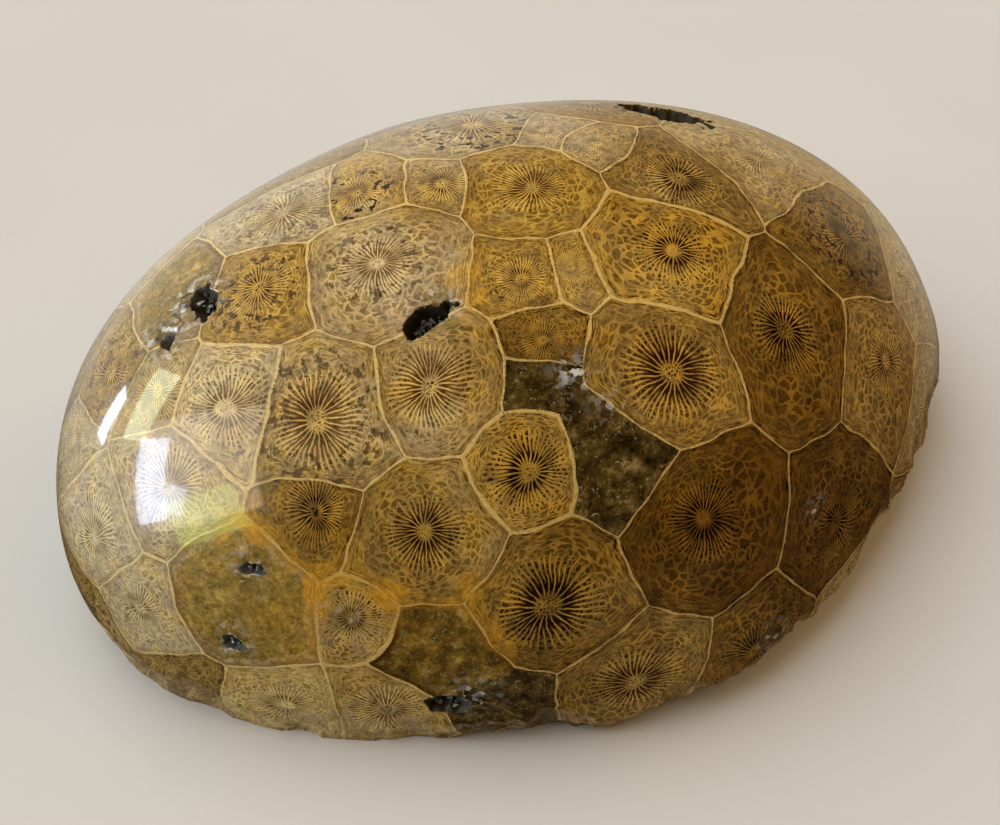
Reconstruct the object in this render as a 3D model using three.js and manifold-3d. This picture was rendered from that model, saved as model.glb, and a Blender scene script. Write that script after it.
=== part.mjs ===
// Fossil coral head: one loaf-shaped lump of colonial rugose coral, ground and polished
// over its domed top, with the broken rock left round the rim and a flat ground base.
// Millimetres, +Z up, X along the length. The origin is under the middle of the
// bounding box, on the plane of the base.
import * as THREE from "three";
import { mergeVertices } from "three/addons/utils/BufferGeometryUtils.js";
import Module from "manifold-3d";

// Plan of the rim: a slightly squared oval, with a few slow swells round it.
const HALF_LENGTH = 57.5;
const HALF_WIDTH = 41.5;
const PLAN_SQUARENESS = 2.15;
// Each swell is waves per turn, then its cosine and sine shares of the radius.
const SWELLS = [
  [1, -0.025, -0.006],
  [2, 0, 0.032],
  [3, -0.015, 0.018],
  [4, 0.024, 0.02],
];

// The polished dome: its height, how full its shoulder is, and where its peak stands.
const TOP_HEIGHT = 46;
const SHOULDER_FULLNESS = 2.15;
const PEAK = new THREE.Vector2(-7.5, 1.5);

// The rim, where the polish stops. It climbs towards the +X end.
const RIM_HEIGHT = 5.5;
const RIM_CLIMB = new THREE.Vector2(5, 1.5);
const RIM_LOWEST = 1.2;
// The rim wanders. Each wander is waves per turn, its height and its phase in radians.
const RIM_WANDERS = [
  [9, 0.35, 0.6],
  [17, 0.3, 2.1],
  [29, 0.22, 4.0],
];
// Each chip out of the rim is its bearing and half its width in degrees, and its height.
const RIM_CHIPS = [
  [200, 16, 3],
  [219, 7, -0.9],
  [245, 9, 1.8],
  [290, 5, 0.8],
  [318, 4, 2.4],
  [352, 6, 1.8],
  [62, 10, 1.8],
  [118, 8, 1.4],
  [165, 7, 1.1],
];
// The share of the dome's climb over which the wandering dies away.
const RIM_FADE = 0.3;

// The broken rock under the rim: how deep it would reach if it weren't ground flat,
// how far its fractures stand in from the smooth bowl, and how far apart they are.
const BELLY_DEPTH = 12.5;
const FRACTURE_RELIEF = 1.5;
const FRACTURE_PITCH = 9;
const FRACTURE_REACH = 0.12;
// At one corner the rock stands nearly upright under the rim, like a foot.
const FOOT = { bearing: 200, halfWidth: 24, fill: 0.8 };

// Open pits in the polish: the point on the dome where each is centred, its half sizes
// along, across and into the stone, and how far its long side is turned.
const PITS = [
  { at: [21.4, 16.4, 40.8], size: [5.2, 2.4, 3], turned: -22 },
  { at: [-18.1, -13.9, 43], size: [3.1, 1.2, 3.2], turned: 20 },
  { at: [-39.8, -0.2, 40.1], size: [2.2, 3.2, 2.5], turned: 10 },
  { at: [-44.5, -2.8, 37.4], size: [1.7, 1.1, 1.6], turned: 0 },
  { at: [-41.2, -26.3, 24.7], size: [1.8, 1.1, 1.4], turned: 0 },
  { at: [-45, -28.3, 15.4], size: [1.4, 1.8, 1.5], turned: 0 },
  { at: [-23.7, -38.6, 8.2], size: [3, 2, 1.8], turned: 0 },
];
const PIT_DETAIL = 2;

// How finely the skin is divided: about 2.7 mm from point to point.
const SKIN_DETAIL = 18;
const RIM_SNAP = 0.03;
const WELD = 1e-4;

const wasm = await Module();
wasm.setup();

function solidFrom(geometry) {
  const bare = geometry.clone();
  bare.deleteAttribute("normal");
  bare.deleteAttribute("uv");
  const merged = mergeVertices(bare, WELD);
  return new wasm.Manifold(
    new wasm.Mesh({
      numProp: 3,
      vertProperties: merged.attributes.position.array,
      triVerts: new Uint32Array(merged.index.array),
    }),
  );
}

function geometryFrom(solid) {
  const mesh = solid.getMesh();
  const geometry = new THREE.BufferGeometry();
  geometry.setAttribute("position", new THREE.BufferAttribute(mesh.vertProperties, 3));
  geometry.setIndex(new THREE.BufferAttribute(mesh.triVerts, 1));
  geometry.computeVertexNormals();
  return geometry;
}

function planRadius(bearing) {
  const along = Math.abs(Math.cos(bearing) / HALF_LENGTH) ** PLAN_SQUARENESS;
  const across = Math.abs(Math.sin(bearing) / HALF_WIDTH) ** PLAN_SQUARENESS;
  const swell = SWELLS.reduce(
    (sum, [waves, c, s]) => sum + c * Math.cos(waves * bearing) + s * Math.sin(waves * bearing),
    1,
  );
  return (along + across) ** (-1 / PLAN_SQUARENESS) * swell;
}

function rimHeight(bearing) {
  return RIM_HEIGHT + RIM_CLIMB.x * Math.cos(bearing) + RIM_CLIMB.y * Math.sin(bearing);
}

// A smooth hump round the plan: 1 at its own bearing, and near 0 past its half width.
function hump(bearing, at, halfWidth) {
  const turn = bearing * THREE.MathUtils.RAD2DEG - at;
  const away = THREE.MathUtils.euclideanModulo(turn + 180, 360) - 180;
  return Math.exp(-((away / halfWidth) ** 2));
}

// How far the broken edge of the polish stands above the rim's own height.
function rimBreak(bearing) {
  let rise = Math.max(RIM_LOWEST - rimHeight(bearing), 0);
  for (const [waves, height, phase] of RIM_WANDERS) {
    rise += height * Math.sin(waves * bearing + phase);
  }
  for (const [at, halfWidth, height] of RIM_CHIPS) {
    rise += height * hump(bearing, at, halfWidth);
  }
  return rise;
}

// Broken faces: crossed waves, folded at zero so that they meet in ridges.
function fracture(x, y, z) {
  const turn = (2 * Math.PI) / FRACTURE_PITCH;
  const broad = Math.sin(turn * (x + 0.6 * y)) + Math.sin(turn * (y - 0.5 * x + z) + 1.3);
  const fine = Math.sin(turn * 2.3 * (x - y)) + Math.sin(turn * 2.1 * (y + z) + 0.7);
  return (Math.abs(broad) + 0.5 * Math.abs(fine)) / 3;
}

// A point on the stone's skin for a point on the unit sphere: the upper half is the
// polished dome and the lower half is the broken belly.
function skinPoint(p) {
  const bearing = Math.atan2(p.y, p.x);
  const radius = planRadius(bearing);
  const rim = rimHeight(bearing);
  const broken = rimBreak(bearing);
  const out = Math.hypot(p.x, p.y);
  const up = Math.abs(p.z) < RIM_SNAP ? 0 : p.z;
  if (up >= 0) {
    const spread = out ** (2 / SHOULDER_FULLNESS);
    const climb = up ** (2 / SHOULDER_FULLNESS);
    const fade = Math.max(1 - climb / RIM_FADE, 0) ** 2;
    return new THREE.Vector3(
      radius * spread * Math.cos(bearing) + PEAK.x * climb,
      radius * spread * Math.sin(bearing) + PEAK.y * climb,
      rim + (TOP_HEIGHT - rim) * climb + broken * fade,
    );
  }
  const undercut = 1 - FOOT.fill * hump(bearing, FOOT.bearing, FOOT.halfWidth);
  const spread = 1 - undercut * (1 - out);
  const x = radius * spread * Math.cos(bearing);
  const y = radius * spread * Math.sin(bearing);
  const z = rim + broken + BELLY_DEPTH * up;
  const bite = FRACTURE_RELIEF * Math.min(-up / FRACTURE_REACH, 1) * fracture(x, y, z);
  return new THREE.Vector3(x, y, z).multiplyScalar(1 - bite / HALF_WIDTH);
}

function skinSolid() {
  const geometry = new THREE.IcosahedronGeometry(1, SKIN_DETAIL);
  const position = geometry.attributes.position;
  const p = new THREE.Vector3();
  for (let i = 0; i < position.count; i++) {
    p.fromBufferAttribute(position, i).normalize();
    position.setXYZ(i, ...skinPoint(p));
  }
  return solidFrom(geometry);
}

// Everything under the plane of the base, ground away.
function groundAway() {
  const reach = 4 * HALF_LENGTH;
  const block = new THREE.BoxGeometry(reach, reach, BELLY_DEPTH * 2);
  block.translate(0, 0, -BELLY_DEPTH);
  return solidFrom(block);
}

function pitSolid({ at, size, turned }) {
  const into = new THREE.Vector3(at[0] / HALF_LENGTH, at[1] / HALF_WIDTH, at[2] / TOP_HEIGHT);
  const pit = new THREE.IcosahedronGeometry(1, PIT_DETAIL);
  pit.scale(...size);
  pit.rotateZ(THREE.MathUtils.degToRad(turned));
  pit.applyQuaternion(
    new THREE.Quaternion().setFromUnitVectors(new THREE.Vector3(0, 0, 1), into.normalize()),
  );
  pit.translate(...at);
  return solidFrom(pit);
}

let stone = skinSolid().subtract(groundAway());
for (const pit of PITS) {
  stone = stone.subtract(pitSolid(pit));
}

const coralGeometry = geometryFrom(stone);
coralGeometry.computeBoundingBox();
const middle = coralGeometry.boundingBox.getCenter(new THREE.Vector3());
coralGeometry.translate(-middle.x, -middle.y, 0);

const polishedCoral = new THREE.MeshStandardMaterial({
  color: "#84683c",
  roughness: 0.22,
  metalness: 0,
});
const coralHead = new THREE.Mesh(coralGeometry, polishedCoral);
coralHead.name = "coral_head";

const part = new THREE.Group();
part.add(coralHead);

export default part;
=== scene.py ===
import math
import random

import bmesh
import bpy
import numpy as np
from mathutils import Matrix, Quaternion, Vector, noise


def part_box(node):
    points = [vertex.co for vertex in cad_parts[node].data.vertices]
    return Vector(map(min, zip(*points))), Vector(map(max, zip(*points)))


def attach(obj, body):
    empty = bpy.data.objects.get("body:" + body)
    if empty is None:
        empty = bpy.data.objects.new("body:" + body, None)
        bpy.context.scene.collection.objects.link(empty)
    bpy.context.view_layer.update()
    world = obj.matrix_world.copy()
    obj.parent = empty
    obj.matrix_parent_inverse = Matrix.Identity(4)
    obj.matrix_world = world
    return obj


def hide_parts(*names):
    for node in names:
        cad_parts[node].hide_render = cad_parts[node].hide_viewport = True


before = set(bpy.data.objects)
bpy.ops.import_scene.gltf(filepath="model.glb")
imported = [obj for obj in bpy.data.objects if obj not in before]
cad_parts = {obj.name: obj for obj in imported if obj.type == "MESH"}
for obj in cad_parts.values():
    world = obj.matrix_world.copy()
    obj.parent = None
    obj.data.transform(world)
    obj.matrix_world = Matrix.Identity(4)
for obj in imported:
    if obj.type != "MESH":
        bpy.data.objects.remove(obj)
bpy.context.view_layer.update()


# ---------------------------------------------------------------------------------------
# The table, the light and the camera. The stone lies on a pale painted table beside a tall
# window, in a light room. The table is matt card-smooth paint with faint marks of use.
# ---------------------------------------------------------------------------------------
MM = 0.001
CAMERA_AZIMUTH = -17.5
CAMERA_ELEVATION = 47
CAMERA_DISTANCE = 181 * MM
CAMERA_LENS = 50
LOOK_AT = Vector((-3 * MM, 1 * MM, 10.4 * MM))
TABLE_HALF_SIZE = 2.0


def linear(hex_colour):
    """An sRGB hex value as the linear colour that a shader wants."""
    parts = [int(hex_colour[i : i + 2], 16) / 255 for i in (1, 3, 5)]
    return tuple(p / 12.92 if p <= 0.04045 else ((p + 0.055) / 1.055) ** 2.4 for p in parts) + (1,)


def add(tree, kind, inputs=None, **settings):
    """Adds a node with its settings, and links or sets its inputs."""
    made = tree.nodes.new(kind)
    for name, value in settings.items():
        setattr(made, name, value)
    for socket, value in (inputs or {}).items():
        if isinstance(value, bpy.types.Node):
            value = value.outputs[0]
        if isinstance(value, bpy.types.NodeSocket):
            tree.links.new(value, made.inputs[socket])
        else:
            made.inputs[socket].default_value = value
    return made


# The node kinds and the setting that come again and again.
MATH, VECTOR_MATH, MIX = "ShaderNodeMath", "ShaderNodeVectorMath", "ShaderNodeMix"
MAP_RANGE, NOISE = "ShaderNodeMapRange", "ShaderNodeTexNoise"
SMOOTH = {"interpolation_type": "SMOOTHSTEP"}


def direction(azimuth, elevation):
    """The way towards a point in the sky: azimuth 0 is towards -Y, and 90 towards +X."""
    turn, climb = math.radians(azimuth), math.radians(elevation)
    return Vector((math.sin(turn) * math.cos(climb), -math.cos(turn) * math.cos(climb), math.sin(climb)))


camera_data = bpy.data.cameras.new("camera")
camera_data.lens = CAMERA_LENS
camera_data.clip_start = 0.01
camera = bpy.data.objects.new("camera", camera_data)
camera.location = LOOK_AT + CAMERA_DISTANCE * direction(CAMERA_AZIMUTH, CAMERA_ELEVATION)
camera.rotation_euler = (LOOK_AT - camera.location).to_track_quat("-Z", "Y").to_euler()
bpy.context.scene.collection.objects.link(camera)
bpy.context.scene.camera = camera


def softbox(name, towards, distance, size, power, colour, roll=0):
    """A rectangular area light that faces the stone."""
    data = bpy.data.lights.new(name, "AREA")
    data.shape = "RECTANGLE"
    data.size, data.size_y = size
    data.energy = power
    data.color = linear(colour)[:3]
    light = bpy.data.objects.new(name, data)
    light.location = towards * distance
    facing = (-towards).to_track_quat("-Z", "Y") @ Quaternion((0, 0, 1), math.radians(roll))
    light.rotation_euler = facing.to_euler()
    light.visible_camera = False
    bpy.context.scene.collection.objects.link(light)
    return light


# The window shows only as its reflection in the polish, and the soft light of the room
# does the rest.
for name, towards, size, power, colour, roll in (
    ("window", direction(-88, 14), (0.20, 0.42), 4.7, "#c8dcff", 45),
    ("window_edge", direction(-76, 15), (0.12, 0.15), 0.7, "#cfe2ff", 20),
    ("window_side_pane", direction(-121, 6), (0.10, 0.22), 1.4, "#d6e4ff", 24),
    ("window_blind", direction(-77, 27), (0.60, 0.60), 4.6, "#fff6e8", 45),
    ("garden_high", direction(-112, 22.5), (0.19, 0.32), 2.0, "#f0ffd8", 45),
    ("garden_low", direction(-64, 15.5), (0.36, 0.25), 1.7, "#cdee70", 45),
):
    softbox(name, towards, 0.9, size, power, colour, roll).visible_diffuse = False
for name, towards, power, colour in (
    ("overhead", direction(-140, 67), 58.0, "#fbfcfa"),
    ("front_fill", direction(80, 44), 29.0, "#ffd092"),
):
    softbox(name, towards, 2.6, (3.0, 2.6), power, colour).visible_glossy = False

# The room: dim and warm on the side away from the window, pale on the window's side and
# behind the stone, where the lit wall is.
world = bpy.data.worlds.new("pale_room")
world.use_nodes = True
tree = world.node_tree
room = tree.nodes["Background"]
sky_way = add(tree, "ShaderNodeTexCoord").outputs["Generated"]
shade = linear("#2e2416")
for towards, near, far, colour in (
    (direction(-100, 20), 0.52, 0.95, "#f3efe4"),
    (direction(-178, -4), 0.66, 0.95, "#d8d2c4"),
    (direction(-135, 4), 0.70, 0.95, "#efe9dc"),
    (direction(130, -8), 0.80, 0.97, "#b5a88c"),
):
    close = add(tree, VECTOR_MATH, {0: sky_way, 1: towards}, operation="DOT_PRODUCT").outputs["Value"]
    close = add(tree, MAP_RANGE, {0: close, 1: near, 2: far}, **SMOOTH)
    shade = add(tree, MIX, {0: close, 6: shade, 7: linear(colour)}, data_type="RGBA").outputs[2]
tree.links.new(shade, room.inputs["Color"])
room.inputs["Strength"].default_value = 1.0
bpy.context.scene.world = world
bpy.context.scene.view_settings.view_transform = "Standard"

table_mesh = bpy.data.meshes.new("table")
corner_signs = ((-1, -1), (1, -1), (1, 1), (-1, 1))
table_corners = [(x * TABLE_HALF_SIZE, y * TABLE_HALF_SIZE, 0) for x, y in corner_signs]
table_mesh.from_pydata(table_corners, [], [(0, 1, 2, 3)])
table = bpy.data.objects.new("table", table_mesh)
bpy.context.scene.collection.objects.link(table)
table.visible_glossy = False

# Emulsion paint, rolled and gone slightly uneven: matt, with a very faint mottle.
paint = bpy.data.materials.new("pale_emulsion_paint")
paint.use_nodes = True
tree = paint.node_tree
surface = tree.nodes["Principled BSDF"]
place = add(tree, "ShaderNodeTexCoord").outputs["Object"]
mottle = add(tree, NOISE, {"Vector": place, "Scale": 14, "Detail": 5})
shades = add(tree, "ShaderNodeValToRGB", {0: mottle.outputs["Fac"]})
shades.color_ramp.elements[0].position, shades.color_ramp.elements[0].color = 0.3, linear("#d4d5d5")
shades.color_ramp.elements[1].position, shades.color_ramp.elements[1].color = 0.7, linear("#d9dada")
tree.links.new(shades.outputs[0], surface.inputs["Base Color"])
surface.inputs["Roughness"].default_value = 0.8
surface.inputs["Specular IOR Level"].default_value = 0.1
roller = add(tree, NOISE, {"Vector": place, "Scale": 900, "Detail": 2})
relief = add(tree, "ShaderNodeBump", {"Height": roller.outputs["Fac"], "Strength": 0.08, "Distance": 0.0003})
tree.links.new(relief.outputs[0], surface.inputs["Normal"])
table_mesh.materials.append(paint)


# ---------------------------------------------------------------------------------------
# The stone: one lump of silicified limestone, ground to a dome and polished down to a
# broken rim. Under the rim it is as it broke, and the base is ground flat to stand on.
# ---------------------------------------------------------------------------------------
HALF_LENGTH = 57.5
HALF_WIDTH = 41.5
PLAN_SQUARENESS = 2.15
SWELLS = ((1, -0.025, -0.006), (2, 0, 0.032), (3, -0.015, 0.018), (4, 0.024, 0.02))
TOP_HEIGHT = 46
SHOULDER_FULLNESS = 2.15
PEAK = (-7.5, 1.5)
RIM_HEIGHT = 5.5
RIM_CLIMB = (5, 1.5)
RIM_LOWEST = 1.2
RIM_WANDERS = ((9, 0.35, 0.6), (17, 0.3, 2.1), (29, 0.22, 4.0), (61, 0.16, 1.0), (97, 0.12, 2.7))
RIM_CHIPS = (
    (200, 16, 3), (219, 7, -0.9), (245, 9, 1.8), (290, 5, 0.8), (318, 4, 2.4),
    (352, 6, 1.8), (62, 10, 1.8), (118, 8, 1.4), (165, 7, 1.1),
)
RIM_FADE = 0.3
BELLY_DEPTH = 12.5
FOOT_BEARING, FOOT_HALF_WIDTH, FOOT_FILL = 200, 24, 0.8
BASE_CLOSES = 0.2
# The share of the way from peak to underside at which the rim comes.
RIM_SHARE = 0.6
SPHERE_STEPS = 7


def plan_radius(bearing):
    along = np.abs(np.cos(bearing) / HALF_LENGTH) ** PLAN_SQUARENESS
    across = np.abs(np.sin(bearing) / HALF_WIDTH) ** PLAN_SQUARENESS
    swell = 1 + sum(c * np.cos(k * bearing) + s * np.sin(k * bearing) for k, c, s in SWELLS)
    return (along + across) ** (-1 / PLAN_SQUARENESS) * swell


def rim_height(bearing):
    return RIM_HEIGHT + RIM_CLIMB[0] * np.cos(bearing) + RIM_CLIMB[1] * np.sin(bearing)


def hump(bearing, at, half_width):
    away = (np.degrees(bearing) - at + 180) % 360 - 180
    return np.exp(-((away / half_width) ** 2))


def rim_break(bearing):
    rise = np.maximum(RIM_LOWEST - rim_height(bearing), 0)
    rise = rise + sum(high * np.sin(k * bearing + phase) for k, high, phase in RIM_WANDERS)
    return rise + sum(high * hump(bearing, at, wide) for at, wide, high in RIM_CHIPS)


def climb_of(unit):
    """How far up each point of the unit sphere is, with the rim moved down to 0."""
    fall = np.arccos(np.clip(unit[:, 2], -1, 1)) / math.pi
    above = 1 - fall / RIM_SHARE
    below = -(fall - RIM_SHARE) / (1 - RIM_SHARE)
    return np.where(fall < RIM_SHARE, above, below) * math.pi / 2


def skin(unit):
    """The stone's skin, in mm, for points on the unit sphere: dome above, belly below."""
    bearing = np.arctan2(unit[:, 1], unit[:, 0])
    climb = climb_of(unit)
    radius, rim, broken = plan_radius(bearing), rim_height(bearing), rim_break(bearing)
    out, up = np.cos(climb), np.sin(climb)
    rise = np.maximum(up, 0) ** (2 / SHOULDER_FULLNESS)
    undercut = 1 - FOOT_FILL * hump(bearing, FOOT_BEARING, FOOT_HALF_WIDTH)
    belly_spread = (1 - undercut * (1 - out)) * np.minimum(out / BASE_CLOSES, 1)
    spread = np.where(up >= 0, out ** (2 / SHOULDER_FULLNESS), belly_spread)
    fade = np.maximum(1 - rise / RIM_FADE, 0) ** 2
    dome_height = rim + (TOP_HEIGHT - rim) * rise + broken * fade
    belly_height = np.maximum(rim + broken * np.clip(1 + up, 0, 1) + BELLY_DEPTH * up, 0)
    return np.stack(
        [
            radius * spread * np.cos(bearing) + PEAK[0] * rise,
            radius * spread * np.sin(bearing) + PEAK[1] * rise,
            np.where(up >= 0, dome_height, belly_height),
        ],
        axis=1,
    )


# ---------------------------------------------------------------------------------------
# The corallites: each many-sided cell is the cup of one polyp, with a disc of radiating
# septa inside it. They grew packed against each other, so each wall runs midway between
# two neighbours. Cells with no disc are filled with lime mud or clear calcite.
# ---------------------------------------------------------------------------------------
# Each row: seat on the dome (x, y, z) and reach in mm, how round its walls are, its disc's
# radius in mm; then its tone from dark to pale, its tint from grey to golden, its axis from
# dark to light, how dark the inner disc is, and how spotted it is.
CORALLITES = (
    (-12, -30, 34, 8.7, 1.7, 4.1, 0.40, 0.48, 0.1, 0.6, 0.0),
    (-19, -20, 40, 8.9, 1.15, 4.8, 0.65, 0.60, 0.0, 0.1, 0.1),
    (-31, -19, 37, 9.5, 1, 5.4, 0.75, 0.60, 0.1, 0.0, 0.5),
    (-40, -14, 37, 8.5, 1, 4.4, 0.78, 0.45, 0.0, 0.0, 0.3),
    (-57, -13, 21, 8.0, 1, 4.2, 1.0, 0.40, 0.2, 0.0, 0.0),
    (-54, -21, 16, 7.5, 1, 3.4, 1.0, 0.50, 0.0, 0.1, 0.1),
    (-41, -32, 6, 7.9, 1.2, 3.9, 1.0, 1.0, 0.5, 0.3, 0.1),
    (-30, -36, 7, 7.0, 1, 4.7, 0.77, 1.0, -0.7, 0.3, 0.1),
    (-3, -43, 10, 9.4, 1.1, 5.5, 0.43, 0.40, 0.1, 0.0, 0.1),
    (-12, -38, 22, 9.5, 1, 5.7, 0.32, 0.60, -0.2, 0.2, 0.0),
    (6, -36, 27, 10.2, 1.1, 4.7, 0.0, 0.60, 0.9, 1, 0.0),
    (6, -24, 38, 9.8, 1.1, 5.6, 0.43, 0.65, 0.0, 0.1, 0.1),
    (11, -11, 43, 10.6, 1.25, 4.7, 0.38, 0.75, 0.7, 0.2, 0.1),
    (22, -20, 35, 10.0, 1, 4.9, 0.17, 0.60, -0.2, 0.6, 0.1),
    (25, -34, 17, 9.0, 1, 4.0, 0.04, 0.40, 0.0, 0.3, 0.0),
    (-2, 1, 46, 8.0, 1, 4.2, 0.54, 0.90, 0.2, 0.0, 0.2),
    (-21, -6, 45, 10.3, 1.15, 4.3, 0.71, 0.35, 0.6, 0.0, 0.5),
    (-21, 7, 45, 7.1, 1.3, 3.4, 0.71, 0.80, 0.0, 0.0, 0.8),
    (16, 0, 43, 8.0, 1, 4.4, 0.40, 0.10, 0.0, 0.5, 0.2),
    (-4, 17, 44, 8.0, 1, 5.4, 0.68, 0.20, 0.0, 0.1, 0.8),
    (-34, -3, 42, 8.9, 1.2, 3.8, 0.65, 1.00, -0.2, 0.0, 0.6),
    (-34, -26, 31, 7.9, 1.5, 3.3, 0.45, 0.80, -1.0, 0.8, 0.1),
    (-23, -31, 29, 9.0, 1, 4.2, 0.56, 0.68, 0.5, 0.5, 0.0),
    (-32, -32, 20, 7.5, 1.9, 3.5, 0.62, 0.60, 0.3, 0.0, 0.1),
    (-11, 4, 46, 5.5, 1.6, 3.1, 0.71, 0.35, 0.1, 0.0, 0.1),
    (-1, -12, 44, 4.2, 1.5, 1.9, 0.60, 0.90, 0.0, 0.0, 0.0),
    (9, 7, 45, 5.6, 1.5, 2.1, 0.71, 0.30, 0.0, 0.0, 0.0),
    (-7, -19, 42, 5.3, 1.2, 2.6, 0.25, 0.55, 0.6, 0.0, 0.2),
    (-7, -12, 44, 5.4, 1.2, 2.9, 0.50, 0.80, 0.0, 0.1, 0.3),
    (37, -20, 26, 9.0, 1, 4.2, 0.45, 0.25, 0.0, 0.3, 0.1),
    (-46, -8, 35, 7.0, 1, 3.5, 0.74, 0.60, 0.0, 0.0, 0.0),
    (12, -42, 8, 8.0, 1, 4.5, 0.20, 0.45, 0.0, 0.3, 0.1),
    (-51, 0, 32, 7.0, 1, 3.5, 0.50, 0.60, -0.2, 0.2, 0.5),
    (36, -6, 34, 9.0, 1, 4.5, 0.20, 0.35, 0.0, 0.2, 0.8),
    (-9, -23, 40, 5.0, 1, 0, 0.10, 0.40, 0.0, 0.0, 0.0),
    (-2, -31, 34, 8.0, 1, 0, 0.10, 0.35, 0.0, 0.0, 0.0),
    (-43, -28, 21, 10.2, 1.25, 0, 0.95, 0.65, 0.0, 0.0, 0.3),
    (-23, -37, 16, 8.0, 1, 0, 0.45, 1.00, 0.0, 0.0, 0.4),
    (-18, -40, 9, 6.0, 1, 0, 0.12, 0.45, 0.0, 0.0, 0.3),
    (-52, -26, 6, 6.0, 1, 2.5, 0.55, 0.30, 0.0, 0.0, 0.3),
    (-57, -3, 25, 6.0, 1, 3.0, 0.8, 0.35, 0.0, 0.0, 0.2),
    (-48, -17, 30, 8.8, 1.1, 4.6, 0.85, 0.35, 0.0, 0.0, 0.0),
    (29, 5, 39, 9.0, 1, 4.0, 0.65, 0.25, 0.0, 0.0, 0.2),
    (-29, 8, 43, 8.0, 1, 4.5, 0.9, 0.25, 0.0, 0.0, 0.4),
    (-43, 2, 39, 7.0, 1, 0, 0.85, 0.35, 0.0, 0.0, 0.2),
    (4, 12, 45, 5.0, 1, 3.0, 0.74, 0.20, 0.0, 0.0, 0.2),
)
THICK_WALLED = (0, 3, 12, 23)
WALL_BOW = 1.1
WALL_BOW_PITCH = 9
WALL_WANDER = 0.3
WALL_WANDER_PITCH = 2.6
MORE_CORALLITES_APART = 13.5
NEIGHBOUR_RANGE = 45

rng = random.Random(11)
noise.seed_set(7)
sphere = bmesh.new()
bmesh.ops.create_icosphere(sphere, subdivisions=SPHERE_STEPS, radius=1)


def wandered(points):
    """The points moved a little by slow noise, so that walls between seats aren't straight."""
    bow = [noise.noise_vector(Vector(p) / WALL_BOW_PITCH) for p in points]
    wander = [noise.noise_vector(Vector(p) / WALL_WANDER_PITCH) for p in points]
    return points + WALL_BOW * np.array(bow) + WALL_WANDER * np.array(wander)


# The cells out of sight follow the same spacing, scattered over the rest of the skin.
rows = [list(row) for row in CORALLITES]
candidates = skin(np.array([v.co for v in sphere.verts]))
order = list(range(len(candidates)))
rng.shuffle(order)
seats = np.array([row[:3] for row in rows], float)
for index in order:
    spot = candidates[index]
    if np.min(np.linalg.norm(seats - spot, axis=1)) > MORE_CORALLITES_APART:
        seats = np.vstack([seats, spot])
        look = [rng.uniform(3.4, 5.2), rng.uniform(0.2, 0.8), rng.uniform(0.2, 0.8)]
        rows.append([*spot, 8, 1, *look, rng.uniform(-0.5, 0.7), rng.uniform(0, 0.6), rng.uniform(0, 0.6)])
reach = np.array([row[3] for row in rows])
roundness = np.array([row[4] for row in rows])
discs = np.array([row[5] for row in rows])
apart = np.linalg.norm(seats[:, None] - seats[None], axis=2)


def owners(points):
    """The cell that each point lies in."""
    found = np.zeros(len(points), int)
    for start in range(0, len(points), 20000):
        part = points[start : start + 20000]
        power = roundness * ((part[:, None] - seats[None]) ** 2).sum(2) - reach**2
        found[start : start + 20000] = power.argmin(1)
    return found


def wall_distance(points, cell):
    """Signed distance in mm from each point to the nearest wall of that cell, + inside."""
    near = [
        j
        for j in range(len(seats))
        if j != cell and apart[cell, j] < NEIGHBOUR_RANGE and (discs[cell] > 0 or discs[j] > 0)
    ]
    to_near = points[:, None] - seats[near][None]
    to_own = (points - seats[cell])[:, None]
    power = roundness[near] * (to_near**2).sum(2) - reach[near] ** 2
    own = roundness[cell] * (to_own**2).sum(2) - reach[cell] ** 2
    steep = 2 * np.linalg.norm(roundness[near][:, None] * to_near - roundness[cell] * to_own, axis=2)
    return ((power - own) / steep).min(1)


# ---------------------------------------------------------------------------------------
# The pits: small hollows that the polish opened, where the coral never filled. They are
# steep-sided, so the mesh is divided again round them.
# ---------------------------------------------------------------------------------------
# Each pit: centre on the dome, half length, half width, depth in mm, how far it is turned,
# and 1 where crystals line it.
PITS = (
    (21.4, 16.4, 40.8, 5.4, 2.5, 4.2, -22, 0),
    (-18.1, -13.9, 43.0, 3.3, 1.3, 4.5, 20, 1),
    (-39.8, -0.6, 40.1, 1.4, 2.5, 2.2, 10, 1),
    (-44.5, -2.8, 37.4, 1.1, 0.8, 1.2, 0, 1),
    (-41.2, -26.3, 24.7, 1.0, 0.55, 0.7, 0, 1),
    (-45.0, -28.3, 15.4, 0.85, 1.0, 0.8, 0, 1),
    (-23.7, -38.6, 8.2, 2.6, 1.6, 1.7, 0, 1),
)
PIT_RAGGEDNESS = 0.45
PIT_RAGGED_PITCH = 1.1
PIT_REACH_THROUGH = 6
PIT_BLOCK_PITCH = 0.7
PIT_GRIT_PITCH = 0.5


def dome_normal(points):
    """Outward directions, near enough, on the dome."""
    away = points / np.array([HALF_LENGTH, HALF_WIDTH, TOP_HEIGHT]) ** 2
    return away / np.linalg.norm(away, axis=1, keepdims=True)


def pit_reach(points, pit):
    """How far each point is from the middle of a pit: 1 at its smooth edge."""
    centre, (long_half, wide_half), turned = np.array(pit[:3]), pit[3:5], pit[6]
    up = dome_normal(centre[None])[0]
    along = np.array([math.cos(math.radians(turned)), math.sin(math.radians(turned)), 0])
    along = along - up * (along @ up)
    along = along / np.linalg.norm(along)
    across = np.cross(up, along)
    offset = points - centre
    over_face = (offset @ along / long_half) ** 2 + (offset @ across / wide_half) ** 2
    return np.sqrt(over_face + (offset @ up / PIT_REACH_THROUGH) ** 2)


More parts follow.
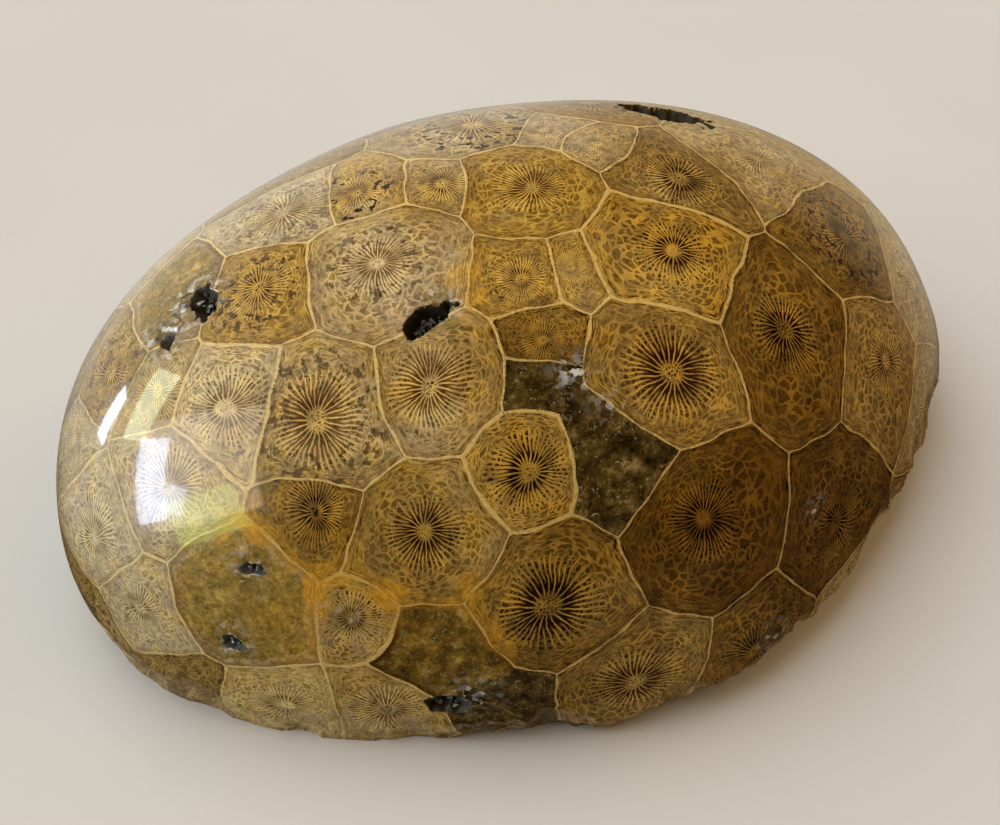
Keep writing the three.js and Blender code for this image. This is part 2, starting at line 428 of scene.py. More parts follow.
def divide(mesh, wanted):
    """Halves each edge whose two ends are wanted, and keeps the new points on the sphere."""
    mesh.verts.ensure_lookup_table()
    edges = [e for e in mesh.edges if wanted[e.verts[0].index] and wanted[e.verts[1].index]]
    bmesh.ops.subdivide_edges(mesh, edges=edges, cuts=1)
    bmesh.ops.triangulate(mesh, faces=[f for f in mesh.faces if len(f.verts) > 3])
    for v in mesh.verts:
        v.co.normalize()
    mesh.verts.index_update()


for close in (1.05, 0.45):
    units = np.array([v.co for v in sphere.verts])
    points = skin(units)
    moved = wandered(points)
    owner = owners(moved)
    wanted = np.abs(climb_of(units)) < 0.1 * close
    for pit in PITS:
        wanted |= pit_reach(points, pit) < 1.25 + 0.3 * close
    if close > 1:
        for cell in range(len(seats)):
            mine = np.flatnonzero(owner == cell)
            wanted[mine] |= wall_distance(moved[mine], cell) < close
    divide(sphere, wanted)

units = np.array([v.co for v in sphere.verts])
climb = climb_of(units)
points = skin(units)
faces = np.array([[v.index for v in f.verts] for f in sphere.faces])
sphere.free()

# The broken skin under the rim: fractures a few mm across, with grit on them.
FRACTURE_PITCH = 4.5
FRACTURE_DEPTH = 1.5
GRIT_PITCH = 1.1
BITE_FULL_BELOW = 0.12
LEAST_BITE = -0.2
CRUMB_DEPTH, CRUMB_PITCH = 0.35, 1.3
CRUMB_GRIT_DEPTH, CRUMB_GRIT_PITCH = 0.15, 0.5
GRIT_DEPTH = 0.3

# Flakes have come off the rim: shallow scoops with sharp points between them.
SCOOP = 1.3
SCOOP_PITCH = 5.5
SCOOP_ABOVE = 0.12
SCOOP_BELOW = 0.6
CHIPPED_STRIP = 0.03
WORN_BEARING, WORN_HALF_WIDTH, WORN_STRIP = 222, 15, 0.07

polish = np.ones(len(points))
for i in np.flatnonzero((climb < 2 * SCOOP_ABOVE) & (climb > -SCOOP_BELOW)):
    bearing = math.atan2(units[i][1], units[i][0])
    reached = float(plan_radius(np.array([bearing]))[0])
    outward = Vector((math.cos(bearing), math.sin(bearing), 0))
    scoop_seed = noise.voronoi(outward * reached / SCOOP_PITCH)[0][0]
    scoop = SCOOP * max(0.0, 1 - (scoop_seed / 0.6) ** 2)
    fade = max(0, 1 - climb[i] / SCOOP_ABOVE) if climb[i] > 0 else 1 + climb[i] / SCOOP_BELOW
    points[i] -= np.array(outward) * scoop * fade**1.5
    worn = CHIPPED_STRIP * (0.3 + scoop) + WORN_STRIP * float(hump(bearing, WORN_BEARING, WORN_HALF_WIDTH))
    strip = worn * (1 + 1.2 * noise.noise(Vector(points[i]) / 1.7))
    if climb[i] < strip:
        polish[i] = 0
        spot = Vector(points[i])
        crumb = CRUMB_DEPTH * abs(noise.noise(spot / CRUMB_PITCH))
        crumb += CRUMB_GRIT_DEPTH * noise.noise(spot / CRUMB_GRIT_PITCH)
        # Points on the flat cut lose no crumbs, because their small triangles would fold.
        points[i] -= np.array(outward) * (crumb if points[i][2] > 0 else 0.0)
for i in np.flatnonzero((climb < 0) & (points[:, 2] > 0)):
    spot = Vector(points[i])
    broad = noise.voronoi(spot / FRACTURE_PITCH)[0]
    ridge = min(1.0, -climb[i] / BITE_FULL_BELOW)
    bite = FRACTURE_DEPTH * (broad[1] - broad[0]) + GRIT_DEPTH * noise.noise(spot / GRIT_PITCH)
    flat = Vector((points[i][0] / HALF_LENGTH, points[i][1] / HALF_WIDTH, 0)).normalized()
    points[i] -= np.array(flat) * max(bite, LEAST_BITE) * ridge

# The pits are pressed in, with steep sides and a ragged lip.
# The pit mask below also carries painted shade: the broken finish darkens the pits by it.
pit_mask_and_shade = np.zeros(len(points))
floor_depth = np.zeros(len(points))
for pit in PITS:
    near = np.flatnonzero((pit_reach(points, pit) < 1.8) & (climb > -0.05))
    far = pit_reach(points[near], pit)
    ragged = np.array([noise.noise(Vector(points[i]) / PIT_RAGGED_PITCH) for i in near])
    far = far * (1 + PIT_RAGGEDNESS * ragged)
    depth = np.sqrt(np.clip(1 - far**2, 0, 1))
    pit_points = [Vector(points[i]) for i in near]
    floor = [noise.cell(p / PIT_BLOCK_PITCH) + noise.noise(p / PIT_GRIT_PITCH) for p in pit_points]
    floor = np.array(floor)
    points[near] += dome_normal(np.array([pit[:3]])) * (-pit[5] * depth * (1 + 0.35 * floor))[:, None]
    polish[near] = np.minimum(polish[near], 1 - np.clip(depth * 3, 0, 1))
    pit_mask_and_shade[near] = np.maximum(pit_mask_and_shade[near], np.clip((1.2 - far) * 4, 0, 1))
    floor_depth[near] = np.maximum(floor_depth[near], pit[7] * depth)

# ---------------------------------------------------------------------------------------
# The stone's mesh, with what the pattern needs: where each corner lies in its own cup.
# ---------------------------------------------------------------------------------------
moved = wandered(skin(units))
face_owner = owners(moved[faces].mean(1))
corner_cup = np.zeros((len(faces), 3, 3), np.float32)
for cell in np.unique(face_owner):
    mine = np.flatnonzero(face_owner == cell)
    corners = moved[faces[mine]].reshape(-1, 3)
    up = dome_normal(seats[cell][None])[0]
    first = np.cross((0.3, 1, 0.2), up)
    first = first / np.linalg.norm(first)
    second = np.cross(up, first)
    offset = corners - seats[cell]
    flat = np.stack([offset @ first, offset @ second], axis=1)
    stretch = np.linalg.norm(offset, axis=1) / np.maximum(np.linalg.norm(flat, axis=1), 1e-6)
    flat = flat * np.minimum(stretch, 1.6)[:, None]
    corner_cup[mine] = np.column_stack([flat, wall_distance(corners, cell)]).reshape(-1, 3, 3)

stone_mesh = bpy.data.meshes.new("coral_stone")
stone_mesh.vertices.add(len(points))
stone_mesh.loops.add(len(faces) * 3)
stone_mesh.polygons.add(len(faces))
stone_mesh.loops.foreach_set("vertex_index", faces.ravel().astype(np.int32))
stone_mesh.polygons.foreach_set("loop_start", np.arange(0, len(faces) * 3, 3, dtype=np.int32))
low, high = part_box("coral_head")
middle = np.array((low + high) / 2)[:2] / MM
box_middle = (points.min(0) + points.max(0))[:2] / 2
points[:, :2] += middle - box_middle
stone_mesh.vertices.foreach_set("co", (points * MM).astype(np.float32).ravel())
stone_mesh.update()
stone_mesh.validate()
stone_mesh.polygons.foreach_set("use_smooth", np.ones(len(faces), bool))

cell_seed = np.array([rng.random() for _ in rows])
septa = 2 * np.round(21 + 3 * cell_seed)
table_of_cells = np.array([row[5:] for row in rows])
strength = np.where(discs > 0, 1.0, 0.0)
strength[list(THICK_WALLED)] = 2.0
cup_build = np.stack([np.maximum(discs, 0.01), septa, cell_seed], axis=1)
cup_look = np.stack([table_of_cells[:, 1], table_of_cells[:, 2], strength], axis=1)
cup_heart = table_of_cells[:, 3:6]
for name, domain, values in (
    ("in_cup", "CORNER", corner_cup),
    ("cup_build", "FACE", cup_build[face_owner]),
    ("cup_look", "FACE", cup_look[face_owner]),
    ("cup_heart", "FACE", cup_heart[face_owner]),
    ("skin", "POINT", np.stack([polish, pit_mask_and_shade, climb], axis=1)),
):
    layer = stone_mesh.attributes.new(name, "FLOAT_VECTOR", domain)
    layer.data.foreach_set("vector", values.astype(np.float32).ravel())
stone = bpy.data.objects.new("coral_stone", stone_mesh)
bpy.context.scene.collection.objects.link(stone)

# Iron stains: limonite has crept along the walls and cracks round the mud-filled cells.
# Each row: where on the dome (x, y, z), how far it spreads in mm, how strong it is.
LIMONITE = (
    (-36.0, -29.5, 23, 3.2, 1.0),
    (-36.0, -29.0, 27, 3.0, 0.9),
    (-35.0, -31.0, 22, 2.5, 0.8),
    (-38.0, -31.0, 17, 2.6, 0.8),
    (-41.0, -24.0, 28, 3.0, 1.0),
    (-33.0, -31.0, 24, 2.6, 0.7),
    (-28.0, -33.0, 23.5, 3.4, 0.9),
    (-21.0, -35.5, 23, 3.4, 0.8),
    (-17.0, -38.0, 18, 3.0, 0.7),
    (-11.0, -11.0, 44, 3.4, 0.5),
    (-14.0, -9.0, 44.5, 2.5, 0.4),
)
# Clear calcite has grown as pale crystalline patches: where, spread, strength.
CALCITE_AND_HIGHLIGHT = (
    (-4.5, -23.0, 40, 1.8, 1.0),
    (-2.0, -27.0, 38, 1.6, 0.5),
    (-42.0, 0.5, 39.3, 3.4, 1.0),
    (-40.5, 0.5, 40, 3.4, 1.0),
    (-45.0, -2.0, 37.4, 3.0, 0.9),
    (-33.0, -31.5, 20, 2.0, 0.6),
    (-41.2, -26.3, 24.7, 2.2, 0.9),
    (-45.0, -28.3, 15.4, 2.2, 0.9),
    (-21.0, -39.0, 9.5, 2.6, 0.9),
    (-16.0, -12.5, 43.3, 2.0, 0.8),
    (14.5, -41.0, 9.0, 2.2, 0.6),
    # This last spot is a painted highlight: a small pale patch on the cell at (25, -34, 17) that stands in
    # for a glint of the window.
    (21.0, -33.6, 21.0, 1.2, 1.0),
)
stain = np.zeros((len(points), 3))
smooth_points = skin(units)
for column, spots in ((0, LIMONITE), (1, CALCITE_AND_HIGHLIGHT)):
    for x, y, z, spread, strong in spots:
        away = np.linalg.norm(smooth_points - np.array([x, y, z]), axis=1)
        stain[:, column] = np.maximum(stain[:, column], strong * np.exp(-((away / spread) ** 2)))
layer = stone_mesh.attributes.new("stains", "FLOAT_VECTOR", "POINT")
layer.data.foreach_set("vector", stain.astype(np.float32).ravel())

# The pattern in the stone, which both of its finishes share: septa, dissepiments, walls,
# mud, iron and calcite. Lengths in it are mm, and 1 / scale is the size of a noise's grain.
pattern = bpy.data.node_groups.new("coral_limestone_pattern", "ShaderNodeTree")
for name, kind in (("Colour", "NodeSocketColor"), ("Dullness", "NodeSocketFloat")):
    pattern.interface.new_socket(name=name, in_out="OUTPUT", socket_type=kind)
place = add(pattern, "ShaderNodeTexCoord").outputs["Object"]
in_mm = add(pattern, VECTOR_MATH, {0: place, "Scale": 1000}, operation="SCALE").outputs[0]
cup = add(pattern, "ShaderNodeAttribute", attribute_name="in_cup").outputs["Vector"]
built = add(pattern, "ShaderNodeAttribute", attribute_name="cup_build").outputs["Vector"]
look = add(pattern, "ShaderNodeAttribute", attribute_name="cup_look").outputs["Vector"]
core = add(pattern, "ShaderNodeAttribute", attribute_name="cup_heart").outputs["Vector"]
stained = add(pattern, "ShaderNodeAttribute", attribute_name="stains").outputs["Vector"]
radius, count, chance = add(pattern, "ShaderNodeSeparateXYZ", {0: built}).outputs
tone, tint, living = add(pattern, "ShaderNodeSeparateXYZ", {0: look}).outputs
heart, inner_dark, spotted = add(pattern, "ShaderNodeSeparateXYZ", {0: core}).outputs
limonite, calcite_and_highlight = add(pattern, "ShaderNodeSeparateXYZ", {0: stained}).outputs[:2]
wall_away = add(pattern, "ShaderNodeSeparateXYZ", {0: cup}).outputs[2]

# Noises: fine grain 0.35 mm, small 0.9 mm, middling 2.5 mm and broad 12 mm.
fine = add(pattern, NOISE, {"Vector": in_mm, "Scale": 2.8, "Detail": 3}).outputs[0]
small = add(pattern, NOISE, {"Vector": in_mm, "Scale": 1.1, "Detail": 2}).outputs[0]
middling = add(pattern, NOISE, {"Vector": in_mm, "Scale": 0.4, "Detail": 3}).outputs[0]
broad = add(pattern, NOISE, {"Vector": in_mm, "Scale": 0.083, "Detail": 2}).outputs[0]
sway = add(pattern, NOISE, {"Vector": in_mm, "Scale": 0.5, "Detail": 2}).outputs["Color"]
sway = add(pattern, VECTOR_MATH, {0: sway, 1: (0.5, 0.5, 0.5)}, operation="SUBTRACT")
bent = add(pattern, VECTOR_MATH, {0: sway, 1: (0.5, 0.5, 0), 2: cup}, operation="MULTIPLY_ADD")
x, y, _ = add(pattern, "ShaderNodeSeparateXYZ", {0: bent}).outputs
flat = add(pattern, "ShaderNodeCombineXYZ", {0: x, 1: y}).outputs[0]
out = add(pattern, VECTOR_MATH, {0: flat}, operation="LENGTH").outputs["Value"]
turn = add(pattern, MATH, {0: y, 1: x}, operation="ARCTAN2")
cosine = add(pattern, MATH, {0: turn}, operation="COSINE")
sine = add(pattern, MATH, {0: turn}, operation="SINE")
share = add(pattern, MATH, {0: out, 1: radius}, operation="DIVIDE")

# Septa: long ones reach the axis, and between them short ones start half way out.
sweep = add(pattern, MATH, {0: turn, 1: count}, operation="MULTIPLY")
sweep = add(pattern, MATH, {0: sweep, 1: 0.25}, operation="MULTIPLY")
spacing = add(pattern, MATH, {0: out, 1: count}, operation="DIVIDE")
spacing = add(pattern, MATH, {0: spacing, 1: 4.0}, operation="MULTIPLY")
thick = add(pattern, MATH, {0: out, 1: 0.0155, 2: 0.03}, operation="MULTIPLY_ADD")
uneven = add(pattern, MAP_RANGE, {0: small, 1: 0.3, 2: 0.7, 3: 0.6, 4: 1.35})
thick = add(pattern, MATH, {0: thick, 1: uneven}, operation="MULTIPLY")
thick_out = add(pattern, MATH, {0: thick, 1: 1.65}, operation="MULTIPLY")
thick_in = add(pattern, MATH, {0: thick, 1: 0.6}, operation="MULTIPLY")
septa_lines = []
for wave in ("SINE", "COSINE"):
    side = add(pattern, MATH, {0: sweep}, operation=wave)
    side = add(pattern, MATH, {0: side}, operation="ABSOLUTE")
    away = add(pattern, MATH, {0: side, 1: spacing}, operation="MULTIPLY")
    septa_lines.append(
        add(pattern, MAP_RANGE, {0: away, 1: thick_out, 2: thick_in}, **SMOOTH)
    )
short_start = add(pattern, MAP_RANGE, {0: share, 1: 0.42, 2: 0.62}, **SMOOTH)
short_septa = add(pattern, MATH, {0: septa_lines[1], 1: short_start}, operation="MULTIPLY")
septa_all = add(pattern, MATH, {0: septa_lines[0], 1: short_septa}, operation="MAXIMUM")
axis_fade = add(pattern, MAP_RANGE, {0: share, 1: 0.1, 2: 0.24}, **SMOOTH)
septa_all = add(pattern, MATH, {0: septa_all, 1: axis_fade}, operation="MULTIPLY")

# The disc's edge is frayed, because the septa stop unevenly.
fray = add(pattern, MATH, {0: small, 1: middling}, operation="ADD")
fray = add(pattern, MATH, {0: fray, 1: 0.32, 2: -0.32}, operation="MULTIPLY_ADD")
frayed = add(pattern, MATH, {0: share, 1: fray}, operation="ADD")
in_disc = add(pattern, MAP_RANGE, {0: frayed, 1: 1.08, 2: 0.94}, **SMOOTH)
septa_all = add(pattern, MATH, {0: septa_all, 1: in_disc}, operation="MULTIPLY")

# Thin cross plates join the septa, closer together towards the edge of the disc.
per_septum = add(pattern, MATH, {0: count, 1: 6.2832}, operation="DIVIDE")
cross_place = add(pattern, "ShaderNodeCombineXYZ", {
    0: add(pattern, MATH, {0: out, 1: 1.7}, operation="MULTIPLY"),
    1: add(pattern, MATH, {0: cosine, 1: per_septum}, operation="MULTIPLY"),
    2: add(pattern, MATH, {0: sine, 1: per_septum}, operation="MULTIPLY"),
})
cross = add(pattern, "ShaderNodeTexVoronoi", {"Vector": cross_place, "Scale": 1}, feature="DISTANCE_TO_EDGE")
cross = add(pattern, MAP_RANGE, {0: cross, 1: 0.14, 2: 0.03}, **SMOOTH)
cross_start = add(pattern, MAP_RANGE, {0: share, 1: 0.45, 2: 0.9, 3: 0.0, 4: 0.75})
cross = add(pattern, MATH, {0: cross, 1: cross_start}, operation="MULTIPLY")
cross = add(pattern, MATH, {0: cross, 1: in_disc}, operation="MULTIPLY")

# Outside the disc, rows of lens-shaped bubbles pass into fibres along the wall.
beyond = add(pattern, MATH, {0: out, 1: radius}, operation="SUBTRACT")
beyond = add(pattern, MATH, {0: beyond, 1: 0.0}, operation="MAXIMUM")
inside_wall = add(pattern, MATH, {0: wall_away, 1: 0.05}, operation="MAXIMUM")
width = add(pattern, MATH, {0: beyond, 1: inside_wall}, operation="ADD")
row_share = add(pattern, MATH, {0: beyond, 1: width}, operation="DIVIDE")
row = add(pattern, MATH, {0: small, 1: 1.0, 2: middling}, operation="MULTIPLY_ADD")
row = add(pattern, MATH, {0: row_share, 1: 6.5, 2: row}, operation="MULTIPLY_ADD")
lens_place = add(pattern, "ShaderNodeCombineXYZ", {
    0: row,
    1: add(pattern, MATH, {0: cosine, 1: 4.6}, operation="MULTIPLY"),
    2: add(pattern, MATH, {0: sine, 1: 4.6}, operation="MULTIPLY"),
})
lens_place = add(pattern, VECTOR_MATH, {0: built, 1: (0, 0, 37), 2: lens_place}, operation="MULTIPLY_ADD")
lenses = add(pattern, "ShaderNodeTexVoronoi", {"Vector": lens_place, "Scale": 1}, feature="DISTANCE_TO_EDGE")
lenses = add(pattern, MAP_RANGE, {0: lenses, 1: 0.15, 2: 0.04}, **SMOOTH)
fibre_place = add(pattern, "ShaderNodeCombineXYZ", {
    0: add(pattern, MATH, {0: wall_away, 1: 2.8}, operation="MULTIPLY"),
    1: add(pattern, MATH, {0: cosine, 1: 2.6, 2: chance}, operation="MULTIPLY_ADD"),
    2: add(pattern, MATH, {0: sine, 1: 2.6, 2: chance}, operation="MULTIPLY_ADD"),
})
fibres = add(pattern, NOISE, {"Vector": fibre_place, "Scale": 1.3, "Detail": 3, "Roughness": 0.6})
fibres = add(pattern, MATH, {0: fibres, 1: 0.5}, operation="SUBTRACT")
fibres = add(pattern, MATH, {0: fibres}, operation="ABSOLUTE")
fibres = add(pattern, MAP_RANGE, {0: fibres, 1: 0.07, 2: 0.01}, **SMOOTH)
to_wall = add(pattern, MAP_RANGE, {0: row_share, 1: 0.35, 2: 0.85, 3: 0.1, 4: 0.75})
outer = add(pattern, MIX, {0: to_wall, 2: lenses, 3: fibres}, data_type="FLOAT")
outside = add(pattern, MATH, {0: 1.0, 1: in_disc}, operation="SUBTRACT")
outer = add(pattern, MATH, {0: outer, 1: outside}, operation="MULTIPLY")
outer = add(pattern, MATH, {0: outer, 1: 0.78}, operation="MULTIPLY")

# The axis of the disc is a tangle of plates: pale in some cups, and dark in others.
axis = add(pattern, MAP_RANGE, {0: share, 1: 0.3, 2: 0.16}, **SMOOTH)
tangle = add(pattern, "ShaderNodeTexVoronoi", {"Vector": in_mm, "Scale": 2.6}, feature="DISTANCE_TO_EDGE")
tangle = add(pattern, MAP_RANGE, {0: tangle, 1: 0.25, 2: 0.05}, **SMOOTH)
tangle = add(pattern, MATH, {0: tangle, 1: axis}, operation="MULTIPLY")

# Everything of skeleton together, missing where the cell is filled with mud.
bone = add(pattern, MATH, {0: septa_all, 1: cross}, operation="MAXIMUM")
bone = add(pattern, MATH, {0: bone, 1: outer}, operation="MAXIMUM")
bone = add(pattern, MATH, {0: bone, 1: tangle}, operation="MAXIMUM")
bone = add(pattern, MATH, {0: bone, 1: living}, operation="MULTIPLY", use_clamp=True)
patchy = add(pattern, MAP_RANGE, {0: middling, 1: 0.34, 2: 0.62, 3: 0.45, 4: 1.0})
bone = add(pattern, MATH, {0: bone, 1: patchy}, operation="MULTIPLY")

# The walls: bright lines 0.3 to 0.8 mm wide.
wall_side = add(pattern, MATH, {0: wall_away}, operation="ABSOLUTE")
wall_half = add(pattern, MAP_RANGE, {0: middling, 1: 0.36, 2: 0.66, 3: 0.09, 4: 0.24})
thicker = add(pattern, MAP_RANGE, {0: living, 1: 1.0, 2: 2.0, 3: 0.0, 4: 0.2})
wall_half = add(pattern, MATH, {0: wall_half, 1: thicker}, operation="ADD")
wall_soft = add(pattern, MATH, {0: wall_half, 1: 0.5}, operation="MULTIPLY")
wall = add(pattern, MAP_RANGE, {0: wall_side, 1: wall_half, 2: wall_soft}, **SMOOTH)
beside = add(pattern, MAP_RANGE, {0: wall_side, 1: 0.9, 2: 0.35}, **SMOOTH)

# Colours, by how dark the cup is and how grey or golden its filling.
tone_here = add(pattern, MAP_RANGE, {0: broad, 1: 0.3, 2: 0.7, 3: -0.16, 4: 0.16})
tone_here = add(pattern, MATH, {0: tone, 1: tone_here}, operation="ADD", use_clamp=True)
filling = add(pattern, "ShaderNodeValToRGB", {0: tone_here})
skeleton = add(pattern, "ShaderNodeValToRGB", {0: tone_here})
for ramp, stops in (
    (filling, ((0.0, "#120502"), (0.3, "#260e03"), (0.6, "#543108"), (1.0, "#97783f"))),
    (skeleton, ((0.0, "#8d6420"), (0.3, "#c69a40"), (0.6, "#e0bd68"), (1.0, "#f6e9c2"))),
):
    ramp.color_ramp.elements[0].position, ramp.color_ramp.elements[0].color = stops[0][0], linear(stops[0][1])
    ramp.color_ramp.elements[1].position, ramp.color_ramp.elements[1].color = stops[3][0], linear(stops[3][1])
    for position, shade in stops[1:3]:
        ramp.color_ramp.elements.new(position).color = linear(shade)
between = add(pattern, MIX, {0: 0.2, 6: filling, 7: skeleton}, data_type="RGBA").outputs[2]
chamber = add(pattern, MAP_RANGE, {0: frayed, 1: 1.0, 2: 0.6, 3: 0.35, 4: 1.0})
chamber = add(pattern, MATH, {0: chamber, 1: in_disc}, operation="MULTIPLY")
ground = add(pattern, MIX, {0: chamber, 6: between, 7: filling}, data_type="RGBA").outputs[2]
depth = add(pattern, MAP_RANGE, {0: share, 1: 1.0, 2: 0.35}, **SMOOTH)
depth = add(pattern, MATH, {0: depth, 1: inner_dark}, operation="MULTIPLY")
depth = add(pattern, MATH, {0: depth, 1: 0.85}, operation="MULTIPLY")
ground = add(pattern, MIX, {0: depth, 6: ground, 7: linear("#1d0803")}, data_type="RGBA").outputs[2]
mottling = add(pattern, MATH, {0: small, 1: fine}, operation="ADD")
mottling = add(pattern, MAP_RANGE, {0: mottling, 1: 0.7, 2: 1.3, 3: 0.45, 4: 1.6})
ground = add(pattern, VECTOR_MATH, {0: ground, "Scale": mottling}, operation="SCALE").outputs[0]
shade_line = add(pattern, MATH, {0: beside, 1: middling}, operation="MULTIPLY")
shade_line = add(pattern, MATH, {0: shade_line, 1: 1.6}, operation="MULTIPLY")
ground = add(pattern, MIX, {0: shade_line, 6: ground, 7: filling}, data_type="RGBA").outputs[2]
tint_here = add(pattern, MAP_RANGE, {0: middling, 1: 0.32, 2: 0.68, 3: -0.4, 4: 0.4})
tint_here = add(pattern, MATH, {0: tint, 1: tint_here}, operation="ADD", use_clamp=True)
wash = add(pattern, "ShaderNodeValToRGB", {0: tint_here})
wash.color_ramp.elements[0].position, wash.color_ramp.elements[0].color = 0.0, (0.92, 0.98, 1.25, 1)
wash.color_ramp.elements[1].position, wash.color_ramp.elements[1].color = 1.0, (1.1, 1.0, 0.45, 1)
wash.color_ramp.elements.new(0.5).color = (1, 1, 1, 1)
ground = add(pattern, VECTOR_MATH, {0: ground, 1: wash}, operation="MULTIPLY").outputs[0]
half_wash = add(pattern, MIX, {0: 0.5, 6: (1, 1, 1, 1), 7: wash}, data_type="RGBA").outputs[2]
bright = add(pattern, VECTOR_MATH, {0: skeleton, 1: half_wash}, operation="MULTIPLY").outputs[0]
colour = add(pattern, MIX, {0: bone, 6: ground, 7: bright}, data_type="RGBA").outputs[2]

# Cells with no coral left in them hold dark olive lime mud, with crumbs and threads of
# white calcite in it.
mud_cloud = add(pattern, NOISE, {"Vector": in_mm, "Scale": 0.5, "Detail": 7, "Roughness": 0.74})
mud = add(pattern, "ShaderNodeValToRGB", {0: mud_cloud})
mud.color_ramp.elements[0].position, mud.color_ramp.elements[0].color = 0.34, linear("#150d03")
mud.color_ramp.elements[1].position, mud.color_ramp.elements[1].color = 0.68, linear("#a08a52")
mud.color_ramp.elements.new(0.46).color = linear("#3f2e0e")
mud.color_ramp.elements.new(0.56).color = linear("#67501f")
lightness = add(pattern, MAP_RANGE, {0: tone, 1: 0.0, 2: 1.0, 3: 0.6, 4: 2.8})
mud = add(pattern, VECTOR_MATH, {0: mud, "Scale": lightness}, operation="SCALE").outputs[0]
mud = add(pattern, VECTOR_MATH, {0: mud, 1: wash}, operation="MULTIPLY").outputs[0]
even = add(pattern, MAP_RANGE, {0: tone, 1: 0.3, 2: 1.0, 3: 0.0, 4: 0.58})
olive = add(pattern, VECTOR_MATH, {0: linear("#ae9347")[:3], "Scale": mottling}, operation="SCALE")
olive = add(pattern, VECTOR_MATH, {0: olive, 1: wash}, operation="MULTIPLY")
mud = add(pattern, MIX, {0: even, 6: mud, 7: olive}, data_type="RGBA").outputs[2]
threads = add(pattern, NOISE, {"Vector": in_mm, "Scale": 0.8, "Detail": 4, "Distortion": 1.2})
threads = add(pattern, MATH, {0: threads, 1: 0.5}, operation="SUBTRACT")
threads = add(pattern, MATH, {0: threads}, operation="ABSOLUTE")
threads = add(pattern, MAP_RANGE, {0: threads, 1: 0.016, 2: 0.003}, **SMOOTH)
threads_where = add(pattern, MAP_RANGE, {0: middling, 1: 0.5, 2: 0.62}, **SMOOTH)
threads = add(pattern, MATH, {0: threads, 1: threads_where}, operation="MULTIPLY")
crumbs = add(pattern, MAP_RANGE, {0: fine, 1: 0.65, 2: 0.72}, **SMOOTH)
threads = add(pattern, MATH, {0: threads, 1: crumbs}, operation="MAXIMUM")
threads = add(pattern, MATH, {0: threads, 1: 0.55}, operation="MULTIPLY")
mud = add(pattern, MIX, {0: threads, 6: mud, 7: linear("#c9bc93")}, data_type="RGBA").outputs[2]
muddy = add(pattern, MATH, {0: 1.0, 1: living}, operation="SUBTRACT", use_clamp=True)
mud_edge = add(pattern, MATH, {0: middling, 1: 2.8, 2: -0.05}, operation="MULTIPLY_ADD")
mud_edge = add(pattern, MATH, {0: mud_edge, 1: tone}, operation="MULTIPLY")
mud_edge = add(pattern, MATH, {0: wall_away, 1: mud_edge}, operation="SUBTRACT")
in_mud = add(pattern, MAP_RANGE, {0: mud_edge, 1: -0.12, 2: 0.12}, **SMOOTH)
muddy = add(pattern, MATH, {0: muddy, 1: in_mud}, operation="MULTIPLY")
colour = add(pattern, MIX, {0: muddy, 6: colour, 7: mud}, data_type="RGBA").outputs[2]

# The axis takes its own shade, pale or dark.
axis_spot = add(pattern, MATH, {0: small, 1: -0.25, 2: share}, operation="MULTIPLY_ADD")
axis_spot = add(pattern, MAP_RANGE, {0: axis_spot, 1: 0.12, 2: 0.0}, **SMOOTH)
grainy = add(pattern, MAP_RANGE, {0: fine, 1: 0.4, 2: 0.6, 3: 0.35, 4: 1.0})
axis_spot = add(pattern, MATH, {0: axis_spot, 1: grainy}, operation="MULTIPLY")
for sign, shade in ((1.0, bright), (-1.0, linear("#120703"))):
    amount = add(pattern, MATH, {0: heart, 1: sign}, operation="MULTIPLY")
    amount = add(pattern, MATH, {0: amount, 1: axis_spot}, operation="MULTIPLY", use_clamp=True)
    colour = add(pattern, MIX, {0: amount, 6: colour, 7: shade}, data_type="RGBA").outputs[2]

# Dark iron-rich spots fill the ends of some of the chambers.
spot_ring = add(pattern, MAP_RANGE, {0: share, 1: 0.55, 2: 0.8}, **SMOOTH)
spots = add(pattern, NOISE, {"Vector": in_mm, "Scale": 1.0, "Detail": 2})
spots = add(pattern, MAP_RANGE, {0: spots, 1: 0.56, 2: 0.6}, **SMOOTH)
spots = add(pattern, MATH, {0: spots, 1: spot_ring}, operation="MULTIPLY")
spot_end = add(pattern, MAP_RANGE, {0: share, 1: 1.7, 2: 1.25}, **SMOOTH)
spots = add(pattern, MATH, {0: spots, 1: spot_end}, operation="MULTIPLY")
spots = add(pattern, MATH, {0: spots, 1: spotted}, operation="MULTIPLY")
spots = add(pattern, MATH, {0: spots, 1: 1.3}, operation="MULTIPLY", use_clamp=True)
colour = add(pattern, MIX, {0: spots, 6: colour, 7: linear("#2b0f06")}, data_type="RGBA").outputs[2]

# Walls over all.
beaded = add(pattern, MAP_RANGE, {0: fine, 1: 0.35, 2: 0.55, 3: 0.68, 4: 1.0})
wall_strength = add(pattern, MATH, {0: wall, 1: beaded}, operation="MULTIPLY")
wall_shade = add(pattern, MIX, {0: 0.5, 6: bright, 7: linear("#e0c684")}, data_type="RGBA").outputs[2]
colour = add(pattern, MIX, {0: wall_strength, 6: colour, 7: wall_shade}, data_type="RGBA").outputs[2]

